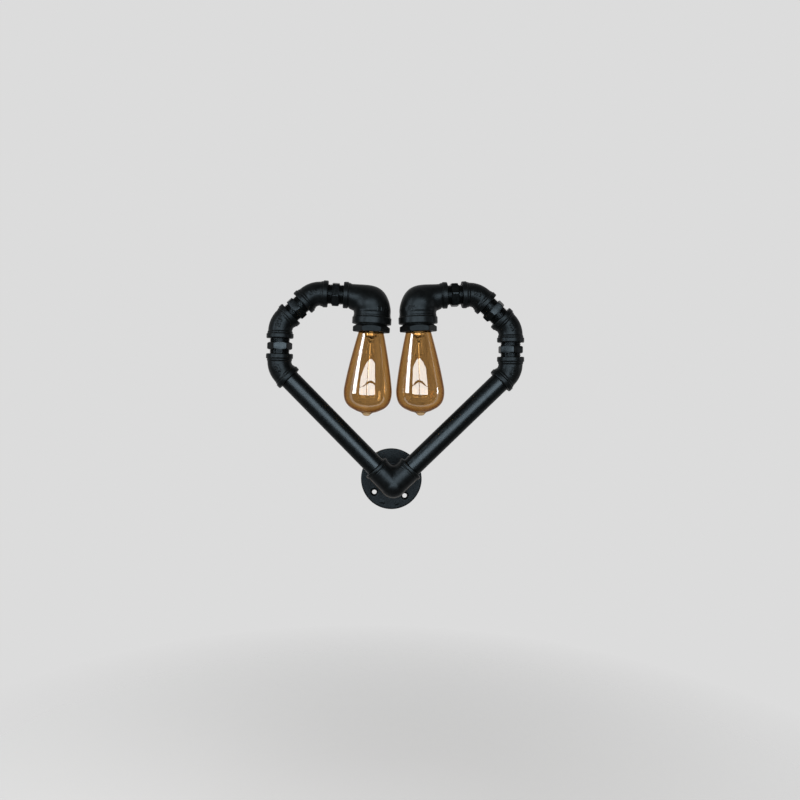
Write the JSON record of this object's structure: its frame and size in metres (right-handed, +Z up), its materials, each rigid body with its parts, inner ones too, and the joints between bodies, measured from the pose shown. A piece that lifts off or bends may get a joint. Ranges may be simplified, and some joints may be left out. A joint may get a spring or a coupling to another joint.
{
  "type": "wall light",
  "caption": "Heart-shaped wall light made of black iron pipe fittings on a round wall flange, with amber filament bulbs hanging from its two ends.",
  "frame": {"origin": "centre of the wall flange's back face, on the wall", "axes": "+Z up, +Y into the wall, +X to the viewer's right; the arms lie in a plane 66 mm in front of the wall"},
  "size_m": [0.3402, 0.0978, 0.3122],
  "materials": {
    "cast_black": "satin black paint on fine sand-cast iron",
    "pipe_black": "satin black paint on smooth drawn pipe",
    "porcelain": "white glazed porcelain",
    "brass": "pressed brass sheet",
    "sheath_black": "matt flexible sheath",
    "core_brown": "insulated core",
    "amber_glass": "clear amber-tinted blown glass",
    "clear_glass": "clear drawn glass",
    "black_glass": "black moulded glass insulator",
    "solder": "soft solder",
    "support_wire": "bright drawn wire",
    "filament": "dull drawn filament wire"
  },
  "bodies": {
    "fittings": {"wall_flange": "cast_black", "corner_elbow": "cast_black", "flange_nipple": "pipe_black", "left_lower_elbow": "cast_black", "left_middle_elbow": "cast_black", "left_upper_elbow": "cast_black", "left_reducing_elbow": "cast_black", "left_lower_nipple": "cast_black", "left_middle_nipple": "cast_black", "left_upper_nipple": "cast_black", "left_lamp_ring": "cast_black", "left_arm_pipe": "pipe_black", "left_lampholder_body": "porcelain", "left_lampholder_shell": "brass", "left_lampholder_contact": "brass", "left_terminals": "brass", "left_lead_sheath": "sheath_black", "left_lead_cores": "core_brown", "right_lower_elbow": "cast_black", "right_middle_elbow": "cast_black", "right_upper_elbow": "cast_black", "right_reducing_elbow": "cast_black", "right_lower_nipple": "cast_black", "right_middle_nipple": "cast_black", "right_upper_nipple": "cast_black", "right_lamp_ring": "cast_black", "right_arm_pipe": "pipe_black", "right_lampholder_body": "porcelain", "right_lampholder_shell": "brass", "right_lampholder_contact": "brass", "right_terminals": "brass", "right_lead_sheath": "sheath_black", "right_lead_cores": "core_brown"},
    "left_bulb": {"left_bulb_glass": "amber_glass", "left_bulb_cap": "brass", "left_bulb_insulator": "black_glass", "left_bulb_contact": "solder", "left_bulb_stem": "clear_glass", "left_bulb_supports": "support_wire", "left_bulb_filament": "filament"},
    "right_bulb": {"right_bulb_glass": "amber_glass", "right_bulb_cap": "brass", "right_bulb_insulator": "black_glass", "right_bulb_contact": "solder", "right_bulb_stem": "clear_glass", "right_bulb_supports": "support_wire", "right_bulb_filament": "filament"}
  },
  "joints": [
    {"name": "left_bulb_unscrew", "type": "slide", "parent": "fittings", "child": "left_bulb", "axis": [-0.0429, 0, -0.9991], "range_m": [0, 0.02]},
    {"name": "right_bulb_unscrew", "type": "slide", "parent": "fittings", "child": "right_bulb", "axis": [0.0429, 0, -0.9991], "range_m": [0, 0.02]}
  ]
}
